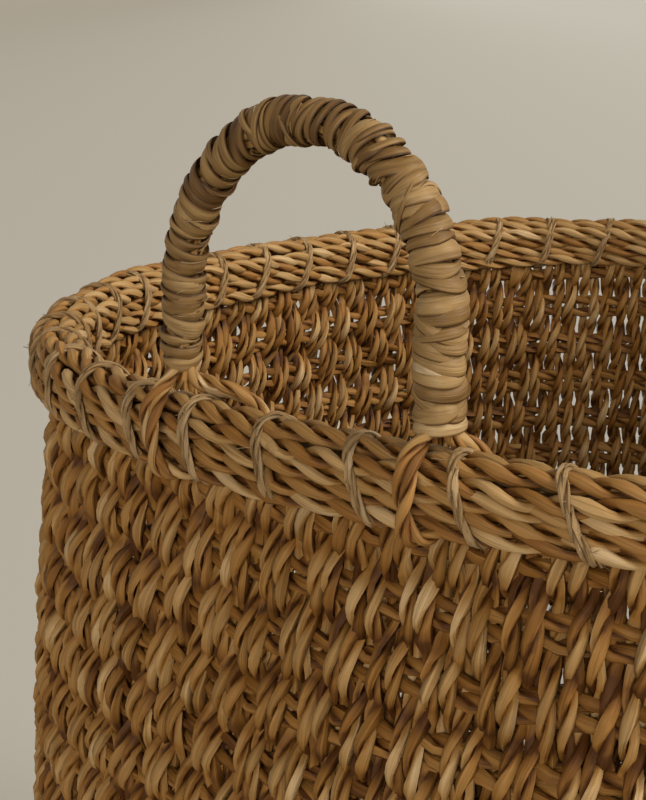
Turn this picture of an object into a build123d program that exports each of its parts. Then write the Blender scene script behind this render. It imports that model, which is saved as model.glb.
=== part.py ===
"""Woven seagrass laundry basket with a rolled rim and two wrapped handles, in millimetres, +Z up.

The plan is a rounded square: four gently bowed sides and four round corners, all tangent arcs.
Every ring of the basket is one section carried round that plan in short straight runs, moved in
or out from it. The runs keep the many rings light, and stay within a millimetre of the arcs.
The handles stand on the two sides that face -Y (front) and +Y (back).
"""
import os
from math import acos, atan2, cos, degrees, pi, radians, sin, sqrt, tan
from build123d import *

# Plan of the rim's middle line
side_half_width = 224.0
side_bow_radius = 420.0
corner_radius = 184.0
side_runs = 4
corner_runs = 7

# Heights and wall
rim_top = 500.0
wall_thickness = 15.0
wall_neck_out = 7.2
wall_belly = 13.0
belly_runs = 4
wall_foot_in = 3.0
foot_round = 14.0
tongue_thickness = 7.0

# Rim roll
column_count = 4
cord_flats = 5.2
cord_gap = 0.2
tongue_clearance = 0.3
neck_below_rim = 12.5

# Lashings
lashing_count = 48
lashing_width = 4.8
lashing_thickness = 2.0
lashing_lean = 16.0
lashing_clearance = 0.9

# Base
base_thickness = 10.0
base_clearance = 0.3
flange_thickness = 5.0
flange_width = 5.0
hoop_flats = 6.0

# Handles
leg_spacing = 98.0
handle_rise = 95.0
leg_gap_above_rim = 7.0
arch_runs = 12
wrap_diameter = 16.8
wrap_sides = 12
core_diameter = 11.5
core_sides = 8
core_clearance = 0.2

# Tails that tie each handle leg to the rim
tail_flats = 5.4
tail_clearance = 0.6
tail_end_clearance = 0.3
tail_start_out = 4.0
tail_bend = 3.0
tail_tuck = 6.2

# The arcs of the plan: turn of a side from its middle to its end, and the two arc centres
radius_step = side_bow_radius - corner_radius
side_half_turn = degrees(acos((side_bow_radius - side_half_width) / (sqrt(2) * radius_step))) - 45
corner_turn = 90 - 2 * side_half_turn
side_centre = side_half_width - side_bow_radius
corner_centre = radius_step * sin(radians(side_half_turn))
side_run = side_bow_radius * radians(2 * side_half_turn)
corner_run = corner_radius * radians(corner_turn)
plan_length = 4 * (side_run + corner_run)


def on_side(angle):
    """The place on the +X side's arc at an outward angle, with X pointing out of the basket."""
    return Pos(side_centre, 0, 0) * Rot(Z=angle) * Pos(side_bow_radius, 0, 0)


def on_corner(angle):
    """The place on the +X +Y corner's arc at an outward angle, with X pointing out."""
    return Pos(corner_centre, corner_centre, 0) * Rot(Z=angle) * Pos(corner_radius, 0, 0)


def plan_place(run):
    """The place at a run along the plan from the middle of the +X side, with X pointing out."""
    quarter_run = side_run + corner_run
    quadrant, rest = divmod(run + side_run / 2, quarter_run)
    if rest < side_run:
        spot = on_side(degrees(rest / side_bow_radius) - side_half_turn)
    else:
        spot = on_corner(degrees((rest - side_run) / corner_radius) + side_half_turn)
    return Rot(Z=90 * quadrant) * spot


side_stops = [on_side(side_half_turn * (2 * i / side_runs - 1)) for i in range(side_runs)]
corner_stops = [on_corner(side_half_turn + corner_turn * i / corner_runs) for i in range(corner_runs + 1)]
quarter_stops = side_stops + corner_stops


def ring(outline):
    """Carry a closed outline of (out, up) points round the plan: one quarter, then its copies."""
    drawn = make_face(Polyline(*outline, close=True))
    quarter = loft([stop * (Plane.XZ * drawn) for stop in quarter_stops], ruled=True)
    quarters = [Rot(Z=90 * i) * quarter for i in range(4)]
    return quarters[0].fuse(*quarters[1:])


def plan_face(out):
    """The flat shape inside the plan, moved out by a distance."""
    corners = [
        (Rot(Z=90 * i) * stop * Pos(out, 0, 0)).position for i in range(4) for stop in quarter_stops[:-1]
    ]
    return make_face(Polyline(*corners, close=True))


def hexagon(out, up, flats):
    """A cord's six-sided outline, lying on a flat."""
    corner = flats / 2 / cos(pi / 6)
    turns = [radians(60 * i) for i in range(6)]
    return [(out + corner * cos(turn), up + corner * sin(turn)) for turn in turns]


# Cord places in the rim roll, measured out from the plan and up from the roll's middle height
cord_step = cord_flats + cord_gap
cord_corner = cord_flats / 2 / cos(pi / 6)
column_out = tongue_thickness / 2 + tongue_clearance + cord_corner
roll_half_width = column_out + cord_corner
column_height = (column_count - 1) * cord_step
low_row = -0.6 * column_height
high_row = low_row + column_height
top_out = cord_corner + cord_gap / 2
top_row = high_row + 2 * (cord_step - (column_out - top_out) * cos(pi / 6))
roll_middle = rim_top - top_row - cord_flats / 2
roll_bottom = roll_middle + low_row - cord_flats / 2
wall_neck = roll_bottom - neck_below_rim
tongue_top = roll_middle + top_row - cord_flats / 2 - tongue_clearance
wall_inner = wall_neck_out - wall_thickness


# Woven wall: a foot that turns under the base, a bellied wall and a thin tongue inside the rim roll
def belly_side(out, low, high):
    """Points up a bellied face from a low height to a high one, on a shallow arc."""
    points = []
    for i in range(belly_runs + 1):
        share = i / belly_runs
        bulge = wall_belly * 4 * share * (1 - share)
        points.append((out - wall_foot_in * (1 - share) + bulge, low + (high - low) * share))
    return points


foot_out = wall_neck_out - wall_foot_in
foot_inner = wall_inner - wall_foot_in
mat_top = flange_thickness + base_thickness
tongue_root = wall_neck + (wall_thickness - tongue_thickness) / 2
tongue_half = tongue_thickness / 2
wall_outline = [(foot_inner - flange_width, flange_thickness), (foot_inner - flange_width, 0)]
round_step = foot_round * (1 - cos(pi / 4))
wall_outline += [(foot_out - foot_round, 0), (foot_out - round_step, round_step)]
wall_outline += belly_side(wall_neck_out, foot_round, wall_neck)
wall_outline += [(tongue_half, tongue_root), (tongue_half, tongue_top)]
wall_outline += [(-tongue_half, tongue_top), (-tongue_half, tongue_root)]
wall_outline += reversed(belly_side(wall_inner, mat_top, wall_neck))
wall_outline += [(foot_inner, flange_thickness)]
woven_wall = ring(wall_outline)

# Rim cords: a column on each face of the tongue, counted from below, and two along its top
cord_places = {"rim_cord_top_outer": (top_out, top_row), "rim_cord_top_inner": (-top_out, top_row)}
for i in range(column_count):
    cord_places[f"rim_cord_outer_{i + 1}"] = (column_out, low_row + i * cord_step)
    cord_places[f"rim_cord_inner_{i + 1}"] = (-column_out, low_row + i * cord_step)
rim_cords = {
    name: ring(hexagon(out, roll_middle + up, cord_flats)) for name, (out, up) in cord_places.items()
}

# Lashings: leaning loops of doubled twine round the roll, threaded through the wall under it
lean = radians(lashing_lean)
lean_rise = lashing_width / 2 * sin(lean)
loop_half = roll_half_width + lashing_clearance
loop_low = low_row - cord_flats / 2 - lashing_clearance - lean_rise
loop_shoulder = high_row + 0.4 * cord_flats + lashing_clearance + lean_rise
loop_top = top_row + cord_flats / 2 + lashing_clearance + lean_rise


def loop_outline(grow):
    """The loop's outline in its own leaning plane, grown outwards."""
    right = [
        (loop_half + grow, (loop_low - grow) / cos(lean)),
        (loop_half + grow, (loop_shoulder + 0.4 * grow) / cos(lean)),
        (top_out + 0.5 * (cord_corner + grow), (loop_top + grow) / cos(lean)),
    ]
    left = [(-out, up) for out, up in reversed(right)]
    return make_face(Polyline(*right, *left, close=True))


loop_drawn = Plane.XZ * (loop_outline(lashing_thickness) - loop_outline(0))
loop = Rot(X=lashing_lean) * extrude(loop_drawn, amount=lashing_width / 2, both=True)

thread_middle = loop_low - lashing_thickness / 2
slot_height = lashing_thickness / cos(lean) + lashing_width * tan(lean) + lashing_clearance
slot_width = lashing_width / cos(lean) + lashing_thickness + lashing_clearance
slot = Pos(0, -thread_middle * tan(lean), thread_middle) * Box(wall_thickness, slot_width, slot_height)
lashing_places = [
    Pos(0, 0, roll_middle) * plan_place(plan_length * i / lashing_count) for i in range(lashing_count)
]
rim_lashings = Compound(children=[place * loop for place in lashing_places])
woven_wall = woven_wall.cut(*[place * slot for place in lashing_places])

# Base: a mat lying on the wall's turned-in foot, and a hoop cord that holds its edge down
mat_out = foot_inner - base_clearance
base_mat = Pos(0, 0, flange_thickness) * extrude(plan_face(mat_out), base_thickness)
hoop_out = mat_out - hoop_flats / 2 / cos(pi / 6)
base_hoop = ring(hexagon(hoop_out, mat_top + hoop_flats / 2, hoop_flats))

# Handle: an arch of bundled cords inside a wrapped sleeve, standing over the rim's middle line
leg_foot = rim_top + leg_gap_above_rim
arch_radius = leg_spacing / 2
spring_up = rim_top + handle_rise - wrap_diameter / 2 - arch_radius
leg_out = side_centre + sqrt(side_bow_radius**2 - arch_radius**2)
handle_plane = Plane((0, -leg_out, 0), x_dir=(1, 0, 0), z_dir=(0, -1, 0))
arch_stops = [Pos(-arch_radius, leg_foot, 0)]
arch_stops += [
    Pos(0, spring_up, 0) * Rot(Z=-180 * i / arch_runs) * Pos(-arch_radius, 0, 0) for i in range(arch_runs + 1)
]
arch_stops += [Pos(arch_radius, leg_foot, 0) * Rot(Z=180)]


def arch(diameter, sides):
    """A many-sided rod along the handle's path: up a leg, over the round top and down again."""
    drawn = Plane.XZ * RegularPolygon(diameter / 2, sides, rotation=180 / sides)
    return loft([handle_plane.location * stop * drawn for stop in arch_stops], ruled=True)


handle_core = arch(core_diameter, core_sides)
handle_wrap = arch(wrap_diameter, wrap_sides) - arch(core_diameter + 2 * core_clearance, core_sides)

# Tails: cords from under a leg that part over the rim and tuck in below it, outside and inside
tail_corner = tail_flats / 2 / cos(pi / 6)
tail_out = roll_half_width + tail_corner + tail_clearance
tail_low = roll_bottom - tail_corner - tail_clearance
tail_top = leg_foot - tail_end_clearance - tail_corner
shoulder_up = rim_top + tail_clearance
tail_fall = (tail_top - shoulder_up) / (tail_out - tail_start_out)
tail_path = [
    (tail_start_out, tail_top),
    (tail_out - tail_bend, shoulder_up + tail_bend * tail_fall),
    (tail_out, shoulder_up - tail_bend),
    (tail_out, tail_low + tail_bend),
    (tail_out - tail_bend, tail_low),
    (tail_out - tail_bend - tail_tuck, tail_low),
]
run_falls = [
    degrees(atan2(up - next_up, next_out - out))
    for (out, up), (next_out, next_up) in zip(tail_path, tail_path[1:])
]
tail_drawn = RegularPolygon(tail_flats / 2, 6, major_radius=False)


def tail(way):
    """One tail on the -Y side, mitred at its bends: way is 1 outside the rim and -1 inside it."""
    sections = []
    for (out, up), before, after in zip(tail_path, run_falls[:1] + run_falls, run_falls + run_falls[-1:]):
        fall = radians((before + after) / 2)
        stretch = 1 / cos(radians(after - before) / 2)
        mitre = Plane((0, -leg_out - way * out, up), x_dir=(1, 0, 0), z_dir=(0, -way * cos(fall), -sin(fall)))
        sections.append(mitre * scale(tail_drawn, by=(1, stretch, 1)))
    return loft(sections, ruled=True)


outer_tail = tail(1)
inner_tail = tail(-1)

nodes = {"woven_wall": woven_wall, "base_mat": base_mat, "base_hoop": base_hoop}
nodes.update(rim_cords)
nodes["rim_lashings"] = rim_lashings
for side_name, turn in (("front", 0), ("back", 180)):
    to_side = Rot(Z=turn)
    nodes[f"{side_name}_handle_core"] = to_side * handle_core
    nodes[f"{side_name}_handle_wrap"] = to_side * handle_wrap
    for leg_name, leg_x in (("left", -arch_radius), ("right", arch_radius)):
        nodes[f"{side_name}_{leg_name}_outer_tail"] = to_side * Pos(leg_x, 0, 0) * outer_tail
        nodes[f"{side_name}_{leg_name}_inner_tail"] = to_side * Pos(leg_x, 0, 0) * inner_tail

os.makedirs("parts", exist_ok=True)
for name, shape in nodes.items():
    export_step(shape, f"parts/{name}.step")
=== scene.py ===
# %% [markdown]
# # A woven laundry basket
#
# The basket is all cord: pairs of two-ply twisted seagrass stand upright and pass in front of one
# weft row and behind the next. A roll of cords closes the top edge, jute twine lashes the roll, and
# two arch handles are wrapped with flat leaf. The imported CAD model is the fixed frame: it gives
# every size and place, and the pieces made here take the place of its plain solids.

# %% Load the frame
from math import cos, pi, radians, sin, sqrt

import bpy
import numpy as np
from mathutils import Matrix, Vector


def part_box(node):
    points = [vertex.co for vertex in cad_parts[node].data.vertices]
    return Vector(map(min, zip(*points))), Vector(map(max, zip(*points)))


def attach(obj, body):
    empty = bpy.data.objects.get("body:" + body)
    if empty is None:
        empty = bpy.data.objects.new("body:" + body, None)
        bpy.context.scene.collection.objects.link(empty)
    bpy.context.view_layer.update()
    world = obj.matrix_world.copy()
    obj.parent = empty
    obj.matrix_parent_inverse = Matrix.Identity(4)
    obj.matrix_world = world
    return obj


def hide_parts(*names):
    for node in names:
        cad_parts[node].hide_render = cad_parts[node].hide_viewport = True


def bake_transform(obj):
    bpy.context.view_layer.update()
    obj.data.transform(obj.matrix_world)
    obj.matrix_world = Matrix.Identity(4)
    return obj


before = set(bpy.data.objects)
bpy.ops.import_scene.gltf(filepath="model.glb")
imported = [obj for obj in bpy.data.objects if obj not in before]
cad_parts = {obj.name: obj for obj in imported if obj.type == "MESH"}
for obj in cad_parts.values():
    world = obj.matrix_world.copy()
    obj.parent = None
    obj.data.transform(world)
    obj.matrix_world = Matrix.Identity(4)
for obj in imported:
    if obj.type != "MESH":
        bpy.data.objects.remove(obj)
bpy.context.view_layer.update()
bpy.ops.object.select_all(action="DESELECT")

# %% [markdown]
# ## The plan
#
# Seen from above the basket is a rounded square made of tangent arcs. Every cord of the wall and
# the rim follows this line, moved in or out, so one function gives the place for a run along it.
# The run starts at the middle of the front side, where a handle stands, and goes towards +X.

# %% The plan as a function of the run along it
MM = 0.001
SIDE_HALF_WIDTH = 224 * MM
SIDE_BOW_RADIUS = 420 * MM
CORNER_RADIUS = 184 * MM

radius_step = SIDE_BOW_RADIUS - CORNER_RADIUS
side_half_turn = np.arccos((SIDE_BOW_RADIUS - SIDE_HALF_WIDTH) / (sqrt(2) * radius_step)) - pi / 4
side_run = 2 * SIDE_BOW_RADIUS * side_half_turn
corner_run = CORNER_RADIUS * (pi / 2 - 2 * side_half_turn)
quarter_run = side_run + corner_run
plan_length = 4 * quarter_run
corner_centre = radius_step * sin(side_half_turn)


def plan(run, out):
    """X and Y at runs along the plan from the front middle, moved out of it."""
    run = np.asarray(run, float) + side_run / 2 - quarter_run
    quadrant = np.floor(run / quarter_run)
    rest = run - quadrant * quarter_run
    on_side = rest < side_run
    side_angle = rest / SIDE_BOW_RADIUS - side_half_turn
    corner_angle = (rest - side_run) / CORNER_RADIUS + side_half_turn
    angle = np.where(on_side, side_angle, corner_angle)
    radius = np.where(on_side, SIDE_BOW_RADIUS, CORNER_RADIUS) + out
    x = np.where(on_side, SIDE_HALF_WIDTH - SIDE_BOW_RADIUS, corner_centre) + radius * np.cos(angle)
    y = np.where(on_side, 0, corner_centre) + radius * np.sin(angle)
    turn = quadrant * pi / 2
    return x * np.cos(turn) - y * np.sin(turn), x * np.sin(turn) + y * np.cos(turn)


def plan_path(run, out, z):
    """Points along the plan as one array of X, Y and Z."""
    run, out, z = np.broadcast_arrays(run, out, z)
    x, y = plan(run, out)
    return np.stack([x, y, z], 1)


print(f"plan length {plan_length:.3f} m")

# %% [markdown]
# ## A twisted cord
#
# A two-ply cord is two leaf strands laid round each other. By hand one would draw a spiral curve
# for each ply, give it a round bevel and convert it to a mesh. The same is done here for hundreds
# of cords at once: both plies wind round the cord's own line, half a turn apart. After Convert each
# ply is pressed flat against its partner and swelled here and there, because no leaf is even, and
# each point is told how far along its leaf and where around it lies. The materials read that, and
# the side of a ply that faces its partner is painted darker: painted shade between the plies.
# A folded leaf has two hard edges, so two lines of edges along each ply are marked sharp.

# %% Bevel profiles
rng = np.random.default_rng(11)


def round_profile(name, count):
    """A closed bevel outline with few corners, one unit in radius."""
    data = bpy.data.curves.new(name, "CURVE")
    data.dimensions = "2D"
    spline = data.splines.new("POLY")
    spline.points.add(count - 1)
    spline.use_cyclic_u = True
    angles = np.arange(count) * 2 * pi / count
    corners = np.stack([np.cos(angles), np.sin(angles), 0 * angles, 0 * angles + 1], 1)
    spline.points.foreach_set("co", corners.ravel())
    profile = bpy.data.objects.new(name, data)
    bpy.context.collection.objects.link(profile)
    return profile


light_profile = round_profile("light_ply", 5)
full_profile = round_profile("full_ply", 8)
hair_profile = round_profile("hair", 3)
profile_sizes = {light_profile: 5, full_profile: 8, hair_profile: 3}

# %% Waves and tones that make each strand its own
WAVE_FACTORS = (0.6, 1.0, 1.7)
TONE_RANGE = (0.08, 0.92)
FIBRE_SHIFT = 50


def wander(where, size, length):
    """A smooth random wave: three sines of unlike length."""
    value = np.zeros(np.shape(where))
    for factor in WAVE_FACTORS:
        wave = np.sin(where * 2 * pi / (length * factor) + rng.uniform(0, 2 * pi))
        value += wave * rng.uniform(0.4, 1)
    return value * size / 2


def leaf_tone(middle, spread):
    """A leaf's tone, from 0 for dark to 1 for pale."""
    return np.clip(rng.normal(middle, spread), *TONE_RANGE)


# %% The two plies of a cord
PLY_OFFSET = 0.5
PLY_REACH = 0.62


def unit(vectors):
    return vectors / np.linalg.norm(vectors, axis=1)[:, None]


def lengths_along(path):
    return np.concatenate([[0], np.cumsum(np.linalg.norm(np.diff(path, axis=0), axis=1))])


def cord(path, beside, half_thickness, twist_length, tone, closed=False, shade=0, bulge=PLY_OFFSET):
    """Two plies round a path that never runs along beside: tone is a middle and a spread, and shade is
    painted shade taken off the tone.
    """
    path = np.asarray(path, float)
    along = lengths_along(path)
    total = along[-1]
    turns = total / twist_length
    ahead = np.gradient(path, axis=0)
    if closed:
        total += np.linalg.norm(path[0] - path[-1])
        turns = max(1, round(total / twist_length))
        ahead = np.roll(path, -1, axis=0) - np.roll(path, 1, axis=0)
    ahead = unit(ahead)
    across = unit(np.cross(ahead, beside))
    up = np.cross(across, ahead)
    start = rng.uniform(0, 2 * pi)
    plies = []
    for half_turn in (0, pi):
        turn = (along / total * turns * 2 * pi + start + half_turn)[:, None]
        outwards = up * np.cos(turn) + across * np.sin(turn)
        ply = {"points": path + outwards * half_thickness * bulge, "outwards": outwards, "along": along}
        ply_tone = leaf_tone(*tone) - shade + 0 * along
        ply.update(radius=half_thickness * PLY_REACH, closed=closed, tone=ply_tone)
        plies.append(ply)
    return plies


# %% The cord maker
PLY_PRESS = 0.84
PLY_SPREAD = 1.12
PLY_SWELL = 0.16
PLY_WAVE = 34 * MM
TONE_DRIFT = (0.1, 120 * MM)
INNER_SHADE = 0.56
WIDE_SHARE = 0.15
WIDE_SPREAD = 0.75
WIDE_LENGTH = 13 * MM


def curve_of(name, plies, profile):
    """A curve object with one spline for each ply."""
    data = bpy.data.curves.new(name, "CURVE")
    data.dimensions = "3D"
    data.bevel_mode = "OBJECT"
    data.bevel_object = profile
    for ply in plies:
        spline = data.splines.new("POLY")
        count = len(ply["points"])
        spline.points.add(count - 1)
        spline.points.foreach_set("co", np.c_[ply["points"], np.ones(count)].ravel())
        spline.points.foreach_set("radius", np.full(count, ply["radius"]))
        spline.use_cyclic_u = ply["closed"]
    piece = bpy.data.objects.new(name, data)
    bpy.context.collection.objects.link(piece)
    return piece


def add_attribute(mesh, name, kind, values):
    attribute = mesh.attributes.new(name, kind, "POINT")
    field = "value" if kind == "FLOAT" else "vector"
    attribute.data.foreach_set(field, np.asarray(values, np.float32).ravel())


def crease(mesh, corner, sharp_corners):
    """Sharpen the edges that run along a strand at the given corners of its section."""
    ends = np.empty(len(mesh.edges) * 2, np.int32)
    mesh.edges.foreach_get("vertices", ends)
    ends = corner[ends.reshape(-1, 2)]
    sharp = (ends[:, 0] == ends[:, 1]) & np.isin(ends[:, 0], sharp_corners)
    attribute = mesh.attributes.new("sharp_edge", "BOOLEAN", "EDGE")
    attribute.data.foreach_set("value", sharp)


def make_cords(name, plies, profile, material, swell=PLY_SWELL):
    """One mesh of many plies, each pressed flat and swelled, with its fibre place and tone, and painted
    shade on the side that faces its partner.
    """
    piece = curve_of(name, plies, profile)
    bpy.ops.object.select_all(action="DESELECT")
    piece.select_set(True)
    bpy.context.view_layer.objects.active = piece
    bpy.ops.object.convert(target="MESH")
    mesh = piece.data
    corners = profile_sizes[profile]
    around = np.arange(corners) * 2 * pi / corners
    place = np.empty(len(mesh.vertices) * 3)
    mesh.vertices.foreach_get("co", place)
    place = place.reshape(-1, 3)
    fibre = np.empty_like(place)
    tone = np.empty(len(place))
    corner = np.empty(len(place), np.int32)
    start = 0
    for ply in plies:
        along = ply["along"]
        end = start + len(along) * corners
        centre = ply["points"][:, None, :]
        outwards = ply["outwards"][:, None, :]
        offset = place[start:end].reshape(-1, corners, 3) - centre
        spread = 1 + wander(along, swell, PLY_WAVE)
        if rng.random() < WIDE_SHARE:
            from_widest = (along - rng.uniform(0, along[-1])) / WIDE_LENGTH
            spread += WIDE_SPREAD * np.exp(-(from_widest**2))
        spread = PLY_SPREAD * spread[:, None, None]
        offset *= spread
        depth = (offset * outwards).sum(2, keepdims=True)
        offset += (PLY_PRESS / spread - 1) * depth * outwards
        inner = np.clip(-depth[:, :, 0] / (ply["radius"] * spread[:, :, 0]), 0, 1)
        place[start:end] = (centre + offset).reshape(-1, 3)
        fibre[start:end, 0] = np.repeat(along + rng.uniform(0, FIBRE_SHIFT), corners)
        fibre[start:end, 1] = np.tile(np.cos(around), len(along))
        fibre[start:end, 2] = np.tile(np.sin(around), len(along))
        # Painted shade: the side of a ply that faces its partner is darkened.
        tones = (ply["tone"] + wander(along, *TONE_DRIFT))[:, None] - INNER_SHADE * inner
        tone[start:end] = tones.ravel()
        corner[start:end] = np.tile((np.arange(corners) + rng.integers(corners)) % corners, len(along))
        start = end
    mesh.vertices.foreach_set("co", place.ravel())
    add_attribute(mesh, "fibre", "FLOAT_VECTOR", fibre)
    add_attribute(mesh, "tone", "FLOAT", tone)
    mesh.materials.append(material)
    bpy.ops.object.shade_smooth()
    crease(mesh, corner, [0, corners // 2])
    mesh.update()
    return piece


# %% [markdown]
# ## Leaf, twine and their materials
#
# Dried seagrass is a narrow leaf: straw to golden tan, some strands olive, some browned, with fine
# ribs along its length and a soft waxy sheen. One node group draws the ribs and the blotches from
# the fibre place, so they follow the twist. Each material then sets its own colours from the tone.
# Jute twine is paler, matt and hairy.

# %% The rib group
RIB_STRETCH = (14, 1, 1)
BLOTCH_STRETCH = (60, 0.6, 0.6)
RIB_ROUGHNESS = 0.62


def rib_group():
    """Ribs and blotches of a dried leaf, from the fibre place."""
    group = bpy.data.node_groups.new("Leaf ribs", "ShaderNodeTree")
    face = group.interface
    face.new_socket("Fibre", in_out="INPUT", socket_type="NodeSocketVector")
    face.new_socket("Rib Scale", in_out="INPUT", socket_type="NodeSocketFloat")
    face.new_socket("Blotch Scale", in_out="INPUT", socket_type="NodeSocketFloat")
    face.new_socket("Ribs", in_out="OUTPUT", socket_type="NodeSocketFloat")
    face.new_socket("Blotches", in_out="OUTPUT", socket_type="NodeSocketFloat")
    nodes = group.nodes
    links = group.links
    start = nodes.new("NodeGroupInput")
    end = nodes.new("NodeGroupOutput")
    stretch = nodes.new("ShaderNodeVectorMath")
    stretch.operation = "MULTIPLY"
    stretch.inputs[1].default_value = RIB_STRETCH
    ribs = nodes.new("ShaderNodeTexNoise")
    ribs.inputs["Detail"].default_value = 3
    ribs.inputs["Roughness"].default_value = RIB_ROUGHNESS
    loose = nodes.new("ShaderNodeVectorMath")
    loose.operation = "MULTIPLY"
    loose.inputs[1].default_value = BLOTCH_STRETCH
    blotches = nodes.new("ShaderNodeTexNoise")
    blotches.inputs["Detail"].default_value = 2
    links.new(start.outputs["Fibre"], stretch.inputs[0])
    links.new(stretch.outputs[0], ribs.inputs["Vector"])
    links.new(start.outputs["Rib Scale"], ribs.inputs["Scale"])
    links.new(start.outputs["Fibre"], loose.inputs[0])
    links.new(loose.outputs[0], blotches.inputs["Vector"])
    links.new(start.outputs["Blotch Scale"], blotches.inputs["Scale"])
    links.new(ribs.outputs["Fac"], end.inputs["Ribs"])
    links.new(blotches.outputs["Fac"], end.inputs["Blotches"])
    return group


leaf_ribs = rib_group()

# %% A maker for leaf materials
BLOTCH_GAIN = 0.5
RIB_SHADES = [(0.3, (0.42, 0.38, 0.32)), (0.5, (0.88, 0.87, 0.85)), (0.7, (1, 1, 1))]
GROOVE_ROUGHER = 0.14
RIDGE_SMOOTHER = 0.1
LEAF_SPECULAR = 0.22
RIB_HEIGHT = 0.8 * MM


def colour_ramp(nodes, stops):
    ramp = nodes.new("ShaderNodeValToRGB")
    elements = ramp.color_ramp.elements
    while len(elements) < len(stops):
        elements.new(0.5)
    for element, (place, colour) in zip(elements, stops):
        element.position = place
        element.color = (*colour, 1)
    return ramp


def leaf_material(name, tones, blotch_scale, rib_depth, roughness, bump, rib_scale=3.0):
    """A dried leaf: the strand's tone and its blotches pick the colour, and ribs shade it."""
    material = bpy.data.materials.new(name)
    material.use_nodes = True
    nodes = material.node_tree.nodes
    links = material.node_tree.links
    shader = nodes["Principled BSDF"]
    fibre = nodes.new("ShaderNodeAttribute")
    fibre.attribute_name = "fibre"
    tone = nodes.new("ShaderNodeAttribute")
    tone.attribute_name = "tone"
    ribs = nodes.new("ShaderNodeGroup")
    ribs.node_tree = leaf_ribs
    ribs.inputs["Rib Scale"].default_value = rib_scale
    ribs.inputs["Blotch Scale"].default_value = blotch_scale
    links.new(fibre.outputs["Vector"], ribs.inputs["Fibre"])
    blotched = nodes.new("ShaderNodeMath")
    blotched.operation = "MULTIPLY_ADD"
    blotched.inputs[1].default_value = BLOTCH_GAIN
    blotched.inputs[2].default_value = -BLOTCH_GAIN / 2
    links.new(ribs.outputs["Blotches"], blotched.inputs[0])
    shifted = nodes.new("ShaderNodeMath")
    shifted.operation = "ADD"
    links.new(tone.outputs["Fac"], shifted.inputs[0])
    links.new(blotched.outputs[0], shifted.inputs[1])
    strand_colour = colour_ramp(nodes, tones)
    links.new(shifted.outputs[0], strand_colour.inputs[0])
    rib_shade = colour_ramp(nodes, RIB_SHADES)
    links.new(ribs.outputs["Ribs"], rib_shade.inputs[0])
    ribbed = nodes.new("ShaderNodeMix")
    ribbed.data_type = "RGBA"
    ribbed.blend_type = "MULTIPLY"
    ribbed.inputs[0].default_value = rib_depth
    links.new(strand_colour.outputs[0], ribbed.inputs[6])
    links.new(rib_shade.outputs[0], ribbed.inputs[7])
    links.new(ribbed.outputs[2], shader.inputs["Base Color"])
    rough = nodes.new("ShaderNodeMapRange")
    rough.inputs["To Min"].default_value = roughness + GROOVE_ROUGHER
    rough.inputs["To Max"].default_value = roughness - RIDGE_SMOOTHER
    links.new(ribs.outputs["Ribs"], rough.inputs["Value"])
    links.new(rough.outputs["Result"], shader.inputs["Roughness"])
    shader.inputs["Specular IOR Level"].default_value = LEAF_SPECULAR
    height = nodes.new("ShaderNodeBump")
    height.inputs["Strength"].default_value = bump
    height.inputs["Distance"].default_value = RIB_HEIGHT
    links.new(ribs.outputs["Ribs"], height.inputs["Height"])
    links.new(height.outputs["Normal"], shader.inputs["Normal"])
    return material


# %% The four finishes
WEAVE_TONES = [
    (0.0, (0.09, 0.03, 0.004)),
    (0.28, (0.25, 0.105, 0.018)),
    (0.48, (0.35, 0.172, 0.042)),
    (0.64, (0.36, 0.196, 0.062)),
    (0.8, (0.46, 0.27, 0.1)),
    (1.0, (0.6, 0.41, 0.21)),
]
RIM_TONES = [
    (0.0, (0.1, 0.036, 0.006)),
    (0.28, (0.27, 0.116, 0.024)),
    (0.48, (0.37, 0.19, 0.054)),
    (0.64, (0.38, 0.218, 0.074)),
    (0.8, (0.48, 0.29, 0.115)),
    (1.0, (0.6, 0.42, 0.22)),
]
WRAP_TONES = [
    (0.0, (0.07, 0.03, 0.008)),
    (0.3, (0.2, 0.108, 0.034)),
    (0.55, (0.33, 0.2, 0.076)),
    (0.8, (0.5, 0.345, 0.17)),
    (1.0, (0.72, 0.56, 0.36)),
]
TWINE_TONES = [(0.0, (0.27, 0.15, 0.055)), (0.5, (0.49, 0.305, 0.135)), (1.0, (0.66, 0.47, 0.26))]

weave_leaf = leaf_material(
    "seagrass_weave", WEAVE_TONES, blotch_scale=1.2, rib_depth=0.75, roughness=0.58, bump=0.5
)
rim_leaf = leaf_material(
    "seagrass_cord", RIM_TONES, blotch_scale=1.0, rib_depth=0.75, roughness=0.55, bump=0.5
)
wrap_leaf = leaf_material(
    "leaf_wrap", WRAP_TONES, blotch_scale=1.2, rib_depth=0.7, roughness=0.46, bump=0.6
)
twine_hair = leaf_material(
    "jute_twine", TWINE_TONES, blotch_scale=3.0, rib_depth=0.7, roughness=0.85, bump=0.9, rib_scale=6.0
)
print("materials:", weave_leaf.name, rim_leaf.name, wrap_leaf.name, twine_hair.name)


def settle(piece, body, slot, *nodes):
    """Ride on a body and stand for CAD nodes; the slot is not used."""
    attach(piece, body)
    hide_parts(*nodes)
    print(piece.name, len(piece.data.polygons), "faces for", *nodes)


# %% [markdown]
# ## The woven wall
#
# The wall swells to a belly between its foot and the neck under the rim. Each upright pair rides
# out over one weft row and in behind the next, and its neighbour does the opposite. By hand one
# would model one pair and array it, but no two strands of a real basket match, so each cord gets
# its own small lean, thickness, twist and tone. Where a cord dives between its neighbours it is
# painted darker, as painted shade.

# %% The wall's middle line
WALL_NECK = 462 * MM
FOOT_TURN = 14 * MM
BELLY = 13 * MM
FOOT_IN = 3 * MM
MIDDLE_IN = 0.3 * MM
ROW_PITCH = 20.7 * MM
TOP_ROW = 475.4 * MM
ROW_COUNT = 23
PAIR_COUNT = 176


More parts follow.
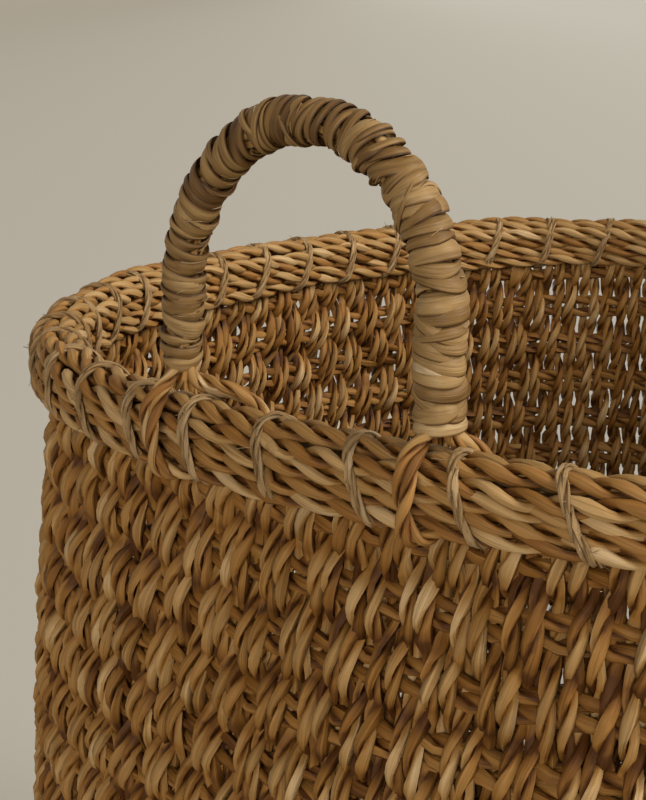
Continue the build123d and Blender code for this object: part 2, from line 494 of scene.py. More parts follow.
def wall_middle(z):
    """How far out of the plan the middle of the wall lies at a height."""
    share = np.clip((z - FOOT_TURN) / (WALL_NECK - FOOT_TURN), 0, 1)
    return -MIDDLE_IN - FOOT_IN * (1 - share) + BELLY * 4 * share * (1 - share)


# %% Upright pairs
STAKE_HALF = 2.75 * MM
STAKE_GAP = 2.75 * MM
STAKE_TWIST = 26 * MM
STAKE_HALVES = (0.88, 1.12)
STAKE_TWISTS = (0.85, 1.25)
STAKE_TONE = (0.64, 0.18)
STAKE_LEAN = 0.5 * MM
STAKE_SWAY = (1.3 * MM, 90 * MM)
STAKE_TOP = 490 * MM
PAIR_UNREST = 0.6 * MM
PHASE_UNREST = 0.16
TURN_DRIFT = (0.5, 110 * MM)
DEPTH_DRIFT = (0.6 * MM, 50 * MM)
GAP_DRIFT = (0.5 * MM, 45 * MM)
WEAVE_DEPTH = 3.5 * MM
FLOAT_ROUND = 0.9
FLOAT_PROUD = 0.2
FOOT_EASE = 15 * MM
NECK_REST = 6 * MM
NECK_EASE = 12 * MM
DIVE_SHADE = 0.56
FINE_BELOW_RIM = 125 * MM
FINE_STEP = 2.6 * MM
COARSE_STEP = 4.0 * MM
SECTORS = 8

foot_out = np.array([-24, -17, -11, -7.5, -5]) * MM
foot_z = np.array([3.6, 3.5, 3.6, 5.5, 9.4]) * MM
fine_start = STAKE_TOP - FINE_BELOW_RIM
stake_z = np.concatenate(
    [np.arange(FOOT_TURN, fine_start, COARSE_STEP), np.arange(fine_start, STAKE_TOP, FINE_STEP)]
)
pair_run = plan_length * (np.arange(PAIR_COUNT) + 0.5) / PAIR_COUNT
pair_run += rng.normal(0, PAIR_UNREST, PAIR_COUNT)
pair_phase = rng.normal(0, PHASE_UNREST, PAIR_COUNT)


def stake_pair(pair):
    """The two cords of an upright pair, from the foot's underside to the inside of the rim."""
    turn = pi * (stake_z - TOP_ROW) / ROW_PITCH + pi * pair + pair_phase[pair]
    turn += wander(stake_z, *TURN_DRIFT)
    wave = np.sign(np.cos(turn)) * np.abs(np.cos(turn)) ** FLOAT_ROUND
    sway = wander(stake_z, *STAKE_SWAY) + STAKE_LEAN * np.sin(turn)
    depth = WEAVE_DEPTH * np.clip((stake_z - FOOT_TURN) / FOOT_EASE, 0.1, 1)
    depth *= np.clip((STAKE_TOP - NECK_REST - stake_z) / NECK_EASE, 0.12, 1)
    # Painted shade: a cord is darker where it dives between its neighbours.
    shade = np.concatenate([np.zeros(len(foot_z)), DIVE_SHADE * (1 - np.abs(wave)) ** 1.5])
    here, ahead = plan_path(pair_run[pair] + np.array([0, 1 * MM]), 0, 0)
    plies = []
    for side in (-1, 1):
        out = wall_middle(stake_z) + (wave + FLOAT_PROUD) * depth + wander(stake_z, *DEPTH_DRIFT)
        run = pair_run[pair] + sway + side * (STAKE_GAP + wander(stake_z, *GAP_DRIFT))
        points = plan_path(
            np.concatenate([np.full(len(foot_z), run[0]), run]),
            np.concatenate([foot_out, out]),
            np.concatenate([foot_z, stake_z]),
        )
        half = STAKE_HALF * rng.uniform(*STAKE_HALVES)
        twist = STAKE_TWIST * rng.uniform(*STAKE_TWISTS)
        plies += cord(points, ahead - here, half, twist, STAKE_TONE, shade=shade)
    return plies


pairs_each = PAIR_COUNT // SECTORS
for sector in range(SECTORS):
    stakes = []
    for pair in range(sector * pairs_each, (sector + 1) * pairs_each):
        stakes += stake_pair(pair)
    piece = make_cords(f"stakes_{sector + 1}", stakes, light_profile, weave_leaf)
    settle(piece, "basket", "seagrass_weave", "woven_wall")

# %% [markdown]
# ## The weft rows
#
# Between the uprights short stretches of the weft show: two cords, one above the other, laid round
# the basket. They stay nearly straight while the uprights do the bending, and give way a little.

# %% Weft cords
WEFT_HALF = 3.0 * MM
WEFT_LEVEL = 3.0 * MM
WEFT_STEP = 4.8 * MM
WEFT_TWIST = 24 * MM
WEFT_GIVE = 0.7 * MM
WEFT_DRIFT = (0.7 * MM, 90 * MM)
# The weft's tone is its leaf colour taken darker than the uprights', as painted shade for the gaps it
# lies in.
WEFT_TONE_IN_PAINTED_SHADE = (0.29, 0.12)
CORD_HALVES = (0.92, 1.1)
CORD_TWISTS = (0.9, 1.15)
ROWS_EACH = 8

UP = np.array([0, 0, 1])
weft_run = np.arange(0, plan_length - WEFT_STEP / 2, WEFT_STEP)


def weft(row, level):
    """One of the two cords of a weft row, a closed loop round the wall."""
    give = -WEFT_GIVE * np.cos(pi * weft_run / plan_length * PAIR_COUNT - pi / 2 + pi * row)
    z = TOP_ROW - row * ROW_PITCH + level * WEFT_LEVEL + wander(weft_run, *WEFT_DRIFT)
    points = plan_path(weft_run, wall_middle(z) + give, z)
    half = WEFT_HALF * rng.uniform(*CORD_HALVES)
    return cord(points, UP, half, WEFT_TWIST * rng.uniform(*CORD_TWISTS), WEFT_TONE_IN_PAINTED_SHADE, True)


for start in range(0, ROW_COUNT, ROWS_EACH):
    rows = range(start, min(start + ROWS_EACH, ROW_COUNT))
    wefts = [ply for row in rows for level in (-1, 1) for ply in weft(row, level)]
    piece = make_cords(f"weft_rows_{start // ROWS_EACH + 1}", wefts, light_profile, weave_leaf)
    settle(piece, "basket", "seagrass_weave", "woven_wall")

# %% [markdown]
# ## The base
#
# The same cords cross on the floor of the basket as a plain weave, held down by one cord round the
# edge. Each line stops at the rounded square that the wall leaves free.

# %% Crossing cords
BASE_STEP = 13 * MM
BASE_RING = 6 * MM
BASE_HALF = 2.5 * MM
BASE_PAIR_GAP = 2.7 * MM
BASE_DEPTH = 2.2 * MM
BASE_TWIST = 27 * MM
BASE_TWISTS = (0.9, 1.1)
BASE_RISE = (0.3 * MM, 50 * MM)
BASE_SWAY = (0.7 * MM, 100 * MM)
BASE_TONE = (0.5, 0.16)
EDGE_POINTS = 400
BASE_EDGE_OUT = -13 * MM

mat_low, mat_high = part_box("base_mat")
mat_middle = (mat_low[2] + mat_high[2]) / 2
edge_x, edge_y = plan(np.linspace(-plan_length / 4, plan_length / 4, EDGE_POINTS), BASE_EDGE_OUT)
line_count = 2 * int(edge_x.max() / BASE_STEP) + 1
line_places = (np.arange(line_count) - line_count // 2) * BASE_STEP


def base_line(index, shift):
    """One cord across the base along Y, passing over and under the crossing lines."""
    half = -np.interp(line_places[index] + shift, edge_x, edge_y)
    y = np.arange(-half, half, BASE_RING)
    z = mat_middle + BASE_DEPTH * np.cos(pi * y / BASE_STEP + pi * index) + wander(y, *BASE_RISE)
    x = line_places[index] + shift + wander(y, *BASE_SWAY)
    return np.stack([x, y, z], 1)


for name, turned in (("base_lines_along", False), ("base_lines_across", True)):
    lines = []
    for index in range(line_count):
        for shift in (-BASE_PAIR_GAP, BASE_PAIR_GAP):
            points = base_line(index, shift)
            if turned:
                points = np.stack([points[:, 1], -points[:, 0], 2 * mat_middle - points[:, 2]], 1)
            half = BASE_HALF * rng.uniform(*CORD_HALVES)
            lines += cord(points, UP, half, BASE_TWIST * rng.uniform(*BASE_TWISTS), BASE_TONE)
    settle(make_cords(name, lines, light_profile, weave_leaf), "basket", "seagrass_weave", "base_mat")

# %% Edge cord of the base
CORD_STEP = 2.6 * MM
CORD_TWIST = 27 * MM
RING_BULGE = 0.64
RING_TONE = (0.56, 0.2)
RING_WAVE_OUT = 110 * MM
RING_WAVE_UP = 130 * MM
HOOP_HALF = 3.2 * MM
HOOP_UNREST = 0.4 * MM

ring_run = np.arange(0, plan_length - CORD_STEP / 2, CORD_STEP)


def ring_cord(out, height, half_thickness, unrest):
    """A closed cord round the plan that wanders a little from its line."""
    out = out + wander(ring_run, unrest, RING_WAVE_OUT)
    height = height + wander(ring_run, unrest, RING_WAVE_UP)
    points = plan_path(ring_run, out, height)
    twist = CORD_TWIST * rng.uniform(*CORD_TWISTS)
    return cord(points, UP, half_thickness, twist, RING_TONE, True, bulge=RING_BULGE)


def node_ring(node):
    """A ring node's place out of the plan, and its height."""
    low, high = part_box(node)
    half = (high[2] - low[2]) / 2
    return high[0] - SIDE_HALF_WIDTH - half / cos(pi / 6), (low[2] + high[2]) / 2


hoop_out, hoop_height = node_ring("base_hoop")
hoop_plies = ring_cord(hoop_out, hoop_height, HOOP_HALF, HOOP_UNREST)
hoop = make_cords("base_edge_cord", hoop_plies, full_profile, rim_leaf)
settle(hoop, "basket", "seagrass_cord", "base_hoop")

# %% [markdown]
# ## The rim roll
#
# Ten cords hide the ends of the uprights: four outside, two on top and four inside. Their places
# come from the CAD rings. The lashings pull the rows tight under the top edge, and a slow wander
# keeps them from looking machined.

# %% Rim cords
RIM_HALF = 2.8 * MM
RIM_UNREST = 1.3 * MM
RIM_SQUEEZE = 0.84

roll_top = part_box("rim_cord_top_outer")[1][2]


def pulled_tight(height):
    """A height on the roll after the lashings have drawn its rows together."""
    return roll_top - RIM_SQUEEZE * (roll_top - height)


for node in sorted(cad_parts):
    if node.startswith("rim_cord"):
        out, height = node_ring(node)
        plies = ring_cord(out, pulled_tight(height), RIM_HALF, RIM_UNREST)
        rim_cord = make_cords(f"{node}_twist", plies, full_profile, rim_leaf)
        settle(rim_cord, "basket", "seagrass_cord", node)

# %% [markdown]
# ## The lashings
#
# Doubled jute twine goes over the roll, leans along its outer face and passes through the wall
# below it. Each lashing is a closed loop of two strands, with loose hairs standing off it. On the
# front the maker set some of them closer together, so they drift from even steps there.

# %% Twine loops
LASHING_COUNT = 48
TWINE_HALF = 1.12 * MM
TWINE_TWIST = 16 * MM
TWINE_TONE = (0.55, 0.15)
LOOP_LEAN = 0.4
LEAN_SPREAD = 0.07
LOOP_STEPS = 50
LOOP_DRIFT = (0.6 * MM, 4)
STRAND_GAPS = (0.6, 0.95)
LOOP_TOP_ROUND = 0.95
LOOP_FOOT_ROUND = 0.6
LOOP_STAND_OFF = 0.9 * MM
HAIRS_EACH = 30
HAIR_RADIUS = 0.1 * MM
HAIR_LENGTHS = (1.2, 3.5)
HAIR_POINTS = 5
HAIR_OUTWARDS = 6
HAIR_BEND = 0.5
HAIR_CURL = 0.6
HAIR_TONE = (0.7, 0.1)
DRIFT = 5.8 * MM
DRIFT_MIDDLE = -16 * MM
DRIFT_LENGTH = 45 * MM

roll_half_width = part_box("rim_cord_outer_1")[1][0] - SIDE_HALF_WIDTH
roll_bottom = pulled_tight(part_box("rim_cord_outer_1")[0][2])
loop_half_width = roll_half_width + LOOP_STAND_OFF
loop_half_height = (roll_top - roll_bottom) / 2 + LOOP_STAND_OFF
loop_middle = (roll_top + roll_bottom) / 2
loop_turn = np.linspace(0, 2 * pi, LOOP_STEPS, endpoint=False)
even_runs = plan_length * (np.arange(LASHING_COUNT) - LASHING_COUNT // 2) / LASHING_COUNT
lashing_runs = even_runs - DRIFT * np.exp(-(((even_runs - DRIFT_MIDDLE) / DRIFT_LENGTH) ** 2))


def lashing_strand(place, strand, lean):
    """One strand of a lashing: a rounded loop in a plane that leans along the rim."""
    roundness = np.where(np.sin(loop_turn) > 0, LOOP_TOP_ROUND, LOOP_FOOT_ROUND)
    out = loop_half_width * np.sign(np.cos(loop_turn)) * np.abs(np.cos(loop_turn)) ** roundness
    up = loop_half_height * np.sign(np.sin(loop_turn)) * np.abs(np.sin(loop_turn)) ** roundness
    gap = strand * rng.uniform(*STRAND_GAPS) * MM
    run = place + gap - up * lean + wander(loop_turn, *LOOP_DRIFT)
    points = plan_path(run, out, loop_middle + up)
    here, ahead = plan_path(place + np.array([0, 1 * MM]), 0, 0)
    half = TWINE_HALF * rng.uniform(*CORD_TWISTS)
    return cord(points, ahead - here, half, TWINE_TWIST, TWINE_TONE, True)


def hair(points):
    """A loose hair that springs from a point of a strand."""
    root = points[rng.integers(len(points))]
    heading = rng.normal(0, 1, 3) + np.array([root[0], root[1], 0]) * HAIR_OUTWARDS
    heading /= np.linalg.norm(heading)
    bend = rng.normal(0, HAIR_BEND, 3)
    share = np.linspace(0, 1, HAIR_POINTS)[:, None]
    path = root + rng.uniform(*HAIR_LENGTHS) * MM * (heading * share + bend * share**2 * HAIR_CURL)
    still = {"outwards": np.zeros_like(path), "along": lengths_along(path), "closed": False}
    return {"points": path, "radius": HAIR_RADIUS, "tone": leaf_tone(*HAIR_TONE), **still}


strands = []
hairs = []
for run in lashing_runs:
    lean = LOOP_LEAN + rng.normal(0, LEAN_SPREAD)
    plies = lashing_strand(run, -1, lean) + lashing_strand(run, 1, lean)
    strands += plies
    hairs += [hair(plies[rng.integers(len(plies))]["points"]) for _ in range(HAIRS_EACH)]
lashings = make_cords("twine_lashings", strands, light_profile, twine_hair)
settle(lashings, "basket", "jute_twine", "rim_lashings")
settle(make_cords("twine_hairs", hairs, hair_profile, twine_hair), "basket", "jute_twine", "rim_lashings")

# %% [markdown]
# ## The handles
#
# A bundle of cords bends into an arch, and flat leaf is wound round it, each turn lapping the one
# before. The hand-bent arch is a little narrower at its shoulders and leans to one side. A ribbon
# with a bevel would turn edgeways, so the winding is built as a strip of rings: the centre goes
# round the arch, and the strip's section lies on it, one edge raised over the next turn.

# %% The arch's path
ARCH_NARROWING = 0.07
ARCH_SWAY = 3.5 * MM
FORWARD = np.array([0, -1, 0])

wrap_low, wrap_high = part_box("front_handle_wrap")
wrap_radius = (wrap_high[1] - wrap_low[1]) / 2
arch_radius = (wrap_high[0] - wrap_low[0]) / 2 - wrap_radius
leg_y = (wrap_high[1] + wrap_low[1]) / 2
leg_foot = wrap_low[2]
spring = wrap_high[2] - wrap_radius - arch_radius
leg_length = spring - leg_foot
arch_length = 2 * leg_length + pi * arch_radius


def arch_frame(run):
    """Place and outward normal along the front arch, from the foot at -X to the one at +X."""
    run = np.asarray(run, float)
    bend = np.clip((run - leg_length) / arch_radius, 0, pi)
    normal = np.stack([-np.cos(bend), 0 * bend, np.sin(bend)], -1)
    along = np.stack([np.sin(bend), 0 * bend, np.cos(bend)], -1)
    straight = run - leg_length - bend * arch_radius
    place = normal * arch_radius + along * straight[..., None] + np.array([0, leg_y, spring])
    height = np.clip((place[..., 2] - leg_foot) / (wrap_high[2] - leg_foot), 0, 1)
    place[..., 0] = place[..., 0] * (1 - ARCH_NARROWING * height) + ARCH_SWAY * height
    return place, normal


print(f"arch {arch_length:.3f} m long, radius {arch_radius:.3f} m")

# %% Leaf strips round the arch
TURN_PITCH = 3.7 * MM
TURN_STEPS = 30
STRIP_WIDTH = 5.2 * MM
STRIP_THICKNESS = 0.6 * MM
STRIP_RAISE = 1.7 * MM
STRIP_CROWN = 1.0 * MM
WRAP_FALL = 1.0 * MM
WRAP_PAST = 1 * MM
STRIP_LEAST = 8
STRIP_DRIFT = (0.9 * MM, 8)
BREADTH_DRIFT = (0.22, 9)
LIFT_DRIFT = (0.7 * MM, 4)
STRIP_TONE_DRIFT = (0.2, 11)
TAPER_RATE = 4
TAPER_LEAST = 0.25
END_SINK = 1.2 * MM
EDGE_FROM = 0.75
EDGE_SHADE = 0.6
STRIP_FIBRE = 3
STRIP_FIBRE_SHIFT = 9
FOLDS = [0, 5, 8]

top_share = np.linspace(-1, 1, 9)
under_share = np.linspace(1, -1, 5)[1:-1]
section_share = np.concatenate([top_share, under_share])
section_lift = np.concatenate(
    [
        STRIP_RAISE * (top_share + 1) / 2 + STRIP_CROWN * (1 - top_share**2),
        STRIP_RAISE * (under_share + 1) / 2 - STRIP_THICKNESS,
    ]
)


def leaf_strip(start, turns, lean, width, lift, tone):
    """One wound strip from a run along the arch: rings of section points, fibre places and tones."""
    count = max(int(turns * TURN_STEPS), STRIP_LEAST)
    turn = np.linspace(0, turns * 2 * pi, count) + rng.uniform(0, 2 * pi)
    share = np.linspace(0, 1, count)
    run = start + turns * TURN_PITCH * share + lean * np.cos(turn) + wander(turn, *STRIP_DRIFT)
    taper = np.clip(np.minimum(share, 1 - share) * turns * TAPER_RATE, TAPER_LEAST, 1)
    breadth = width * taper * (1 + wander(turn, *BREADTH_DRIFT))
    raised = lift + wander(turn, *LIFT_DRIFT) - (1 - taper) * END_SINK
    runs = run[:, None] + breadth[:, None] / 2 * section_share
    place, normal = arch_frame(np.clip(runs, -WRAP_PAST, arch_length + WRAP_PAST))
    inner = wrap_radius - WRAP_FALL - STRIP_RAISE - STRIP_CROWN / 2
    reach = inner + raised[:, None] + section_lift
    radial = normal * np.cos(turn)[:, None, None] + FORWARD * np.sin(turn)[:, None, None]
    points = place + radial * reach[:, :, None]
    along = (turn * wrap_radius + rng.uniform(0, FIBRE_SHIFT))[:, None] + 0 * runs
    across = section_share + STRIP_FIBRE + 0 * runs
    fibre = np.stack([along, across, rng.uniform(0, STRIP_FIBRE_SHIFT) + 0 * runs], -1)
    # Painted shade: each strip is darker towards both its edges, where the laps overlap.
    edge_shade_mask = np.clip((np.abs(section_share) - EDGE_FROM) / (1 - EDGE_FROM), 0, 1)
    tones = tone - EDGE_SHADE * edge_shade_mask + wander(turn, *STRIP_TONE_DRIFT)[:, None] + 0 * runs
    return {"points": points, "fibre": fibre, "tone": tones}


def mesh_of_strips(name, strips, material):
    """One mesh of closed strips, every ring of section points joined to the next."""
    points = []
    faces = []
    fibre = []
    tone = []
    corner = []
    first = 0
    for strip in strips:
        rings, corners, _ = strip["points"].shape
        ring = np.arange(rings - 1)[:, None] * corners + np.arange(corners)
        beside = np.arange(rings - 1)[:, None] * corners + (np.arange(corners) + 1) % corners
        quads = np.stack([ring, ring + corners, beside + corners, beside], -1).reshape(-1, 4) + first
        faces += quads.tolist()
        faces.append((first + np.arange(corners)).tolist())
        faces.append((first + (rings - 1) * corners + np.arange(corners)[::-1]).tolist())
        points.append(strip["points"].reshape(-1, 3))
        fibre.append(strip["fibre"].reshape(-1, 3))
        tone.append(strip["tone"].ravel())
        corner.append(np.tile(np.arange(corners), rings))
        first += rings * corners
    mesh = bpy.data.meshes.new(name)
    mesh.from_pydata(np.concatenate(points).tolist(), [], faces)
    add_attribute(mesh, "fibre", "FLOAT_VECTOR", np.concatenate(fibre))
    add_attribute(mesh, "tone", "FLOAT", np.concatenate(tone))
    mesh.materials.append(material)
    piece = bpy.data.objects.new(name, mesh)
    bpy.context.collection.objects.link(piece)
    bpy.ops.object.select_all(action="DESELECT")
    piece.select_set(True)
    bpy.context.view_layer.objects.active = piece
    bpy.ops.object.mode_set(mode="EDIT")
    bpy.ops.mesh.select_all(action="SELECT")
    bpy.ops.mesh.normals_make_consistent(inside=False)
    bpy.ops.object.mode_set(mode="OBJECT")
    bpy.ops.object.shade_smooth()
    crease(mesh, np.concatenate(corner), FOLDS)
    return piece


# %% Both wrapped handles
WRAP_START = 3.2 * MM
LIFT_GAIN = 0.9 * MM

STRIP_TURNS = 1.9
LAST_TURN = 0.5
LAP_OVERLAP = 0.3
LAP_LEAN = 3.4 * MM
LAP_LEAN_LOSS = 1.6 * MM
LAP_LEAN_SPREAD = 1.2 * MM
LAP_WIDTHS = (0.85, 1.2)
LAP_TONE = 0.45
TOP_SHADE = 0.2
LAP_PAINTED_LIGHT_GAIN = 0.15
LAP_TONE_SPREAD = 0.08

CROSS_STRIPS = 13
CROSS_PLACES = (2.2, 1.5)
CROSS_REACH = 0.95
CROSS_TURNS = (0.6, 1.5)
CROSS_LEANS = (1.5, 4.5)
CROSS_LIFT = 0.5 * MM
CROSS_WIDTHS = (0.5, 0.8)
CROSS_TONE = 0.34
CROSS_PAINTED_LIGHT_GAIN = 0.24
CROSS_TONE_SPREAD = 0.12

TORN_BITS = 70
TORN_PLACES = (0.02, 0.98)
TORN_TURNS = (0.06, 0.2)
TORN_LEANS = (-3, 3)
TORN_LIFTS = (0.5, 1.1)
TORN_WIDTHS = (0.6, 1.5)
TORN_TONE = 0.8

rng = np.random.default_rng(5)


def lift_at(share):
    """The wrap grows thicker from its first foot to its last."""
    return (share - 0.5) * LIFT_GAIN


def laps():
    """Strips that lap one over the next along the whole arch, with painted shade darkest at its top and
    painted light towards its last foot.
    """
    strips = []
    turn = WRAP_START / TURN_PITCH
    total_turns = arch_length / TURN_PITCH
    while turn < total_turns - LAST_TURN:
        turns = min(STRIP_TURNS + rng.uniform(-1, 1), total_turns - turn)
        share = (turn + turns / 2) / total_turns
        lean = LAP_LEAN - LAP_LEAN_LOSS * share + rng.normal(0, LAP_LEAN_SPREAD)
        # Painted shade darkens the laps towards the top of the arch, and painted light makes them paler
        # towards its last foot.
        tone = LAP_TONE - TOP_SHADE * sin(pi * share) + LAP_PAINTED_LIGHT_GAIN * share
        tone += rng.normal(0, LAP_TONE_SPREAD)
        width = STRIP_WIDTH * rng.uniform(*LAP_WIDTHS)
        strips.append(leaf_strip(turn * TURN_PITCH, turns, lean, width, lift_at(share), tone))
        turn += turns - LAP_OVERLAP
    return strips


def crossing_strip():
    """A narrower strip that crosses the laps."""
    share = rng.beta(*CROSS_PLACES)
    lean = rng.choice([-1, 1]) * rng.uniform(*CROSS_LEANS) * MM
    # Painted light: crossing strips grow paler towards the arch's last foot.
    tone = CROSS_TONE + CROSS_PAINTED_LIGHT_GAIN * share + rng.normal(0, CROSS_TONE_SPREAD)
    width = STRIP_WIDTH * rng.uniform(*CROSS_WIDTHS)
    start = WRAP_START + share * (arch_length - WRAP_START) * CROSS_REACH
    return leaf_strip(start, rng.uniform(*CROSS_TURNS), lean, width, lift_at(share) + CROSS_LIFT, tone)


def torn_bit():
    """A short pale shred where a leaf's edge has torn."""
    share = rng.uniform(*TORN_PLACES)
    lift = lift_at(share) + rng.uniform(*TORN_LIFTS) * MM
    width = rng.uniform(*TORN_WIDTHS) * MM
    lean = rng.uniform(*TORN_LEANS) * MM
    start = WRAP_START + share * (arch_length - WRAP_START)
    return leaf_strip(start, rng.uniform(*TORN_TURNS), lean, width, lift, TORN_TONE)


def handle_strips():
    """The strips of one handle, from the laps to the torn bits."""
    strips = laps()
    strips += [crossing_strip() for _ in range(CROSS_STRIPS)]
    strips += [torn_bit() for _ in range(TORN_BITS)]
    return strips


def to_back(points):
    """The same place on the back side: half a turn about the basket's middle."""
    return points * np.array([-1, -1, 1])


for side in ("front", "back"):
    strips = handle_strips()
    if side == "back":
        for strip in strips:
            strip["points"] = to_back(strip["points"])
    wrap = mesh_of_strips(f"{side}_leaf_wrap", strips, wrap_leaf)
    settle(wrap, f"{side}_handle", "leaf_wrap", f"{side}_handle_wrap")

# %% [markdown]
# ## Handle cores and tails
#
# Under the wrap four cords make the arch. At each foot they part into two pairs: one goes down the
# outer face of the rim and tucks in below it, the other goes over the top and down inside.

# %% Cores
CORE_STEP = 4 * MM
CORE_HALF = 2.5 * MM
CORE_OFFSET = 2.7 * MM
CORE_PAST = 1.5 * MM
CORE_LAY = 120 * MM
CORE_TONE = (0.55, 0.1)

core_run = np.arange(-CORE_PAST, arch_length + CORE_PAST, CORE_STEP)
core_place, core_normal = arch_frame(core_run)
for side in ("front", "back"):
    cords = []
    for quarter in range(4):
        turn = quarter * pi / 2 + core_run / CORE_LAY + pi / 4
        radial = core_normal * np.cos(turn)[:, None] + FORWARD * np.sin(turn)[:, None]
        points = core_place + radial * CORE_OFFSET
        if side == "back":
            points = to_back(points)
        cords += cord(points, -FORWARD, CORE_HALF, STAKE_TWIST, CORE_TONE)
    core = make_cords(f"{side}_core_cords", cords, light_profile, rim_leaf)
    settle(core, f"{side}_handle", "seagrass_cord", f"{side}_handle_core")

# %% Tails
TAIL_HALF = 2.0 * MM
TAIL_PAIR = 1.7 * MM
TAIL_STEPS = 40
PAIR_TWIST = 46 * MM
TAIL_TWIST = 21 * MM
TAIL_TONE = (0.48, 0.15)
TAIL_BESIDE = np.array([1, 0.2, 0.1])
PAIR_FLATNESS = 0.55
FIXED_HEIGHT = 492 * MM
MOVING_HEIGHT = 508 * MM
ROUTE_RESOLUTION = 12
# Stops in millimetres: aside from the leg, out from it, and the height
TAIL_ROUTES = {
    "left_outer": [
        (0, 1, 513), (0, 4, 506), (0, 9, 503), (0, 14, 498),
        (1, 15, 488), (4, 14, 480), (10, 11, 479), (14, 4, 481),
    ],
    "right_outer": [
        (0, 1, 513), (0, 4, 506), (-1, 9, 503), (-1, 14, 498),
        (-1, 15, 488), (0, 14, 479), (3, 10, 478), (4, 3, 481),
    ],
    "left_inner": [
        (0, 0, 513), (3, -1, 506), (9, -3, 504), (16, -6, 503),
        (22, -11, 499), (24, -13, 490), (24, -9, 483),
    ],
    "right_inner": [
        (0, 0, 513), (1, -1, 506), (4, -4, 503), (6, -9, 500),
        (8, -13, 494), (8, -14, 487), (8, -9, 482),
    ],
}


def smooth_path(stops, count):
    """A smooth line through a few stops, read from a NURBS spline."""
    data = bpy.data.curves.new("route", "CURVE")
    data.dimensions = "3D"
    data.resolution_u = ROUTE_RESOLUTION
    spline = data.splines.new("NURBS")
    spline.points.add(len(stops) - 1)
    spline.points.foreach_set("co", np.c_[stops, np.ones(len(stops))].ravel())
    spline.order_u = 3
    spline.use_endpoint_u = True
    route = bpy.data.objects.new("route", data)
    mesh = bpy.data.meshes.new_from_object(route)
    line = np.array([vertex.co for vertex in mesh.vertices])
    bpy.data.objects.remove(route)
    along = lengths_along(line)
    even = np.linspace(0, along[-1], count)
    return np.stack([np.interp(even, along, line[:, axis]) for axis in range(3)], 1)


def tail_pair(leg_x, route):
    """Two cords laid round each other, from inside the wrap over the rim to the tuck below it."""
    stops = np.array(route) * MM * np.array([1, -1, 1]) + np.array([leg_x, leg_y, 0])
    line = smooth_path(stops, TAIL_STEPS)
    along = lengths_along(line)
    heading = unit(np.gradient(line, axis=0))
    beside = unit(np.cross(heading, np.cross(heading, [1, 0, 0])))
    above = np.cross(heading, beside)
    cords = []
    for half_turn in (0, pi):
        turn = along / PAIR_TWIST * 2 * pi + half_turn
        offset = beside * np.cos(turn)[:, None] + PAIR_FLATNESS * above * np.sin(turn)[:, None]
        cords += cord(line + offset * TAIL_PAIR, TAIL_BESIDE, TAIL_HALF, TAIL_TWIST, TAIL_TONE)
    return cords


for side in ("front", "back"):
    for leg, leg_sign in (("left", -1), ("right", 1)):
        for face in ("outer", "inner"):
            node = f"{side}_{leg}_{face}_tail"
            cords = tail_pair(leg_sign * arch_radius, TAIL_ROUTES[f"{leg}_{face}"])
            fixed = np.array([leg_sign * arch_radius, leg_y, FIXED_HEIGHT])
            moving = np.array([leg_sign * arch_radius, leg_y, MOVING_HEIGHT])
            if side == "back":
                for ply in cords:
                    ply["points"] = to_back(ply["points"])
                    ply["outwards"] = to_back(ply["outwards"])
                fixed, moving = to_back(fixed), to_back(moving)
            piece = make_cords(f"{node}_pair", cords, full_profile, rim_leaf)
            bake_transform(piece)
            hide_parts(node)
print("tails made")

# %% [markdown]
# ## Floor, light and camera
#
# A pale warm floor runs back past the picture's top edge, so it is the backdrop as well. Its colour
# is painted lighter towards the window side, as painted window light, and the world takes the same
# colour where it is seen, so low views have no dark horizon. A broad soft sun stands on the window
# side, a weaker one behind the camera and a dim sky fill the shade, and a low card behind the basket
# lights the inside through the weave. The card doesn't light the floor. The camera stands where the
# photograph was taken from.

# %% Floor
FLOOR_SIZE = 400
FLOOR_ROUGHNESS = 0.95
FLOOR_SPECULAR = 0.1
FLOOR_COLOUR_IN_PAINTED_SHADE = (0.455, 0.418, 0.348)
FLOOR_COLOUR_IN_PAINTED_LIGHT = (0.66, 0.637, 0.567)
WINDOW_SIDE = (0.765, 0.645, 0)
FLOOR_FADE = 5.5

bpy.ops.mesh.primitive_plane_add(size=FLOOR_SIZE, location=(0, 0, 0))
floor = bpy.context.object
floor.name = "floor"
paper = bpy.data.materials.new("floor_paper")
paper.use_nodes = True
nodes = paper.node_tree.nodes
links = paper.node_tree.links
surface = nodes["Principled BSDF"]
surface.inputs["Roughness"].default_value = FLOOR_ROUGHNESS
surface.inputs["Specular IOR Level"].default_value = FLOOR_SPECULAR
place = nodes.new("ShaderNodeTexCoord")
aside = nodes.new("ShaderNodeVectorMath")
aside.operation = "DOT_PRODUCT"
aside.inputs[1].default_value = WINDOW_SIDE
painted_light_fade = nodes.new("ShaderNodeMapRange")
painted_light_fade.interpolation_type = "SMOOTHERSTEP"
painted_light_fade.inputs["From Min"].default_value = -FLOOR_FADE
painted_light_fade.inputs["From Max"].default_value = FLOOR_FADE
# Painted light: the floor grows lighter towards the window side and darker away from it.
shade = colour_ramp(nodes, [(0, FLOOR_COLOUR_IN_PAINTED_SHADE), (1, FLOOR_COLOUR_IN_PAINTED_LIGHT)])
links.new(place.outputs["Object"], aside.inputs[0])
links.new(aside.outputs["Value"], painted_light_fade.inputs["Value"])
links.new(painted_light_fade.outputs["Result"], shade.inputs[0])
links.new(shade.outputs[0], surface.inputs["Base Color"])
floor.data.materials.append(paper)
print("floor", FLOOR_SIZE, "m wide")

# %% Sky and backdrop
SKY_COLOUR = (0.62, 0.6, 0.56)
SKY_STRENGTH = 0.12
BACKDROP_COLOUR = (0.54, 0.505, 0.43)

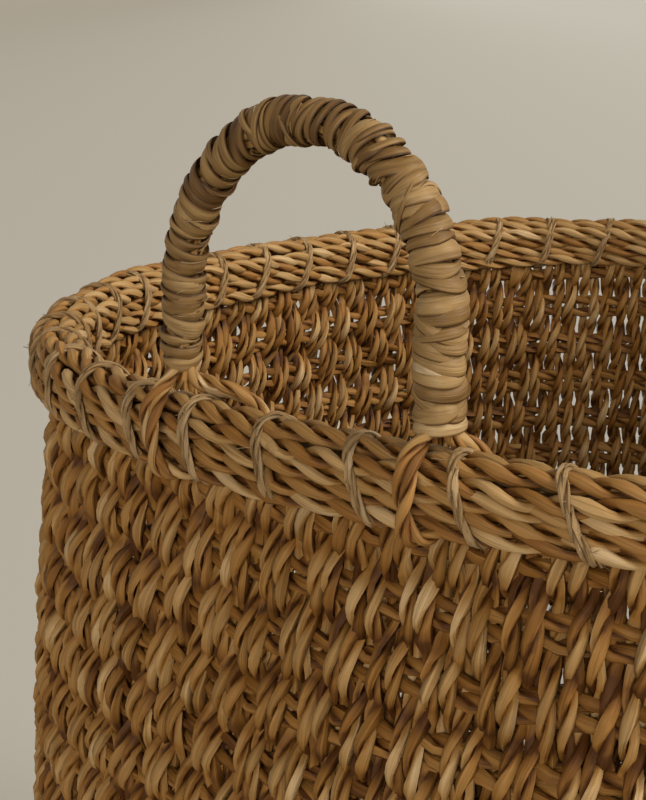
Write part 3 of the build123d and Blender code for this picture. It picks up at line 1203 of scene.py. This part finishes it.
world = bpy.data.worlds.new("studio")
bpy.context.scene.world = world
world.use_nodes = True
nodes = world.node_tree.nodes
links = world.node_tree.links
sky = nodes["Background"]
sky.inputs["Color"].default_value = (*SKY_COLOUR, 1)
sky.inputs["Strength"].default_value = SKY_STRENGTH
backdrop = nodes.new("ShaderNodeBackground")
backdrop.inputs["Color"].default_value = (*BACKDROP_COLOUR, 1)
ray = nodes.new("ShaderNodeLightPath")
seen = nodes.new("ShaderNodeMixShader")
shown = ray.outputs["Is Camera Ray"]
for kind in ("Is Glossy Ray", "Is Transmission Ray"):
    either = nodes.new("ShaderNodeMath")
    either.operation = "MAXIMUM"
    links.new(shown, either.inputs[0])
    links.new(ray.outputs[kind], either.inputs[1])
    shown = either.outputs[0]
links.new(shown, seen.inputs[0])
links.new(sky.outputs[0], seen.inputs[1])
links.new(backdrop.outputs[0], seen.inputs[2])
links.new(seen.outputs[0], nodes["World Output"].inputs["Surface"])
print("world:", world.name)

# %% Two soft suns
SUN_COLOUR = (1, 0.97, 0.92)


def soft_sun(name, energy, spread, origin):
    """A wide sun that shines from a direction towards the basket."""
    data = bpy.data.lights.new(name, "SUN")
    data.energy = energy
    data.angle = radians(spread)
    data.color = SUN_COLOUR
    sun = bpy.data.objects.new(name, data)
    bpy.context.collection.objects.link(sun)
    sun.rotation_euler = (-Vector(origin)).to_track_quat("-Z", "Y").to_euler()
    print("sun:", name)


soft_sun("window", energy=3.5, spread=40, origin=(1.15, 0.4, 0.85))
soft_sun("pale_wall", energy=1.7, spread=30, origin=(0.55, -1.1, 0.3))

# %% Low card behind the basket
CARD_PLACE = Vector((-0.85, 1.02, 0.16))
CARD_AIM = Vector((0, 0, 0.4))
CARD_LENGTH = 1.4
CARD_HEIGHT = 0.26
CARD_SPREAD = radians(110)
CARD_ENERGY = 3.2

card_data = bpy.data.lights.new("low_card", "AREA")
card_data.shape = "RECTANGLE"
card_data.size = CARD_LENGTH
card_data.size_y = CARD_HEIGHT
card_data.spread = CARD_SPREAD
card_data.energy = CARD_ENERGY
card = bpy.data.objects.new("low_card", card_data)
bpy.context.collection.objects.link(card)
card.location = CARD_PLACE
card.rotation_euler = (CARD_AIM - CARD_PLACE).to_track_quat("-Z", "Y").to_euler()
card.visible_camera = False
unlit = bpy.data.collections.new("not_lit_by_card")
unlit.objects.link(floor)
card.light_linking.receiver_collection = unlit
unlit.collection_objects[0].light_linking.link_state = "EXCLUDE"
print("card:", CARD_LENGTH, "m long")

# %% Camera
CAMERA_PLACE = (303.7 * MM, -572.0 * MM, 624.9 * MM)
CAMERA_YAW = radians(40.13)
CAMERA_PITCH = radians(14.32)
LENS = 74.73
SENSOR_WIDTH = 36

camera_data = bpy.data.cameras.new("camera")
camera_data.lens = LENS
camera_data.sensor_width = SENSOR_WIDTH
camera = bpy.data.objects.new("camera", camera_data)
bpy.context.collection.objects.link(camera)
camera.location = CAMERA_PLACE
camera.rotation_euler = (pi / 2 - CAMERA_PITCH, 0, CAMERA_YAW)
bpy.context.scene.camera = camera
bpy.context.scene.view_settings.view_transform = "Standard"
print("camera:", LENS, "mm lens")

# %% Finish
for profile in profile_sizes:
    bpy.data.objects.remove(profile)
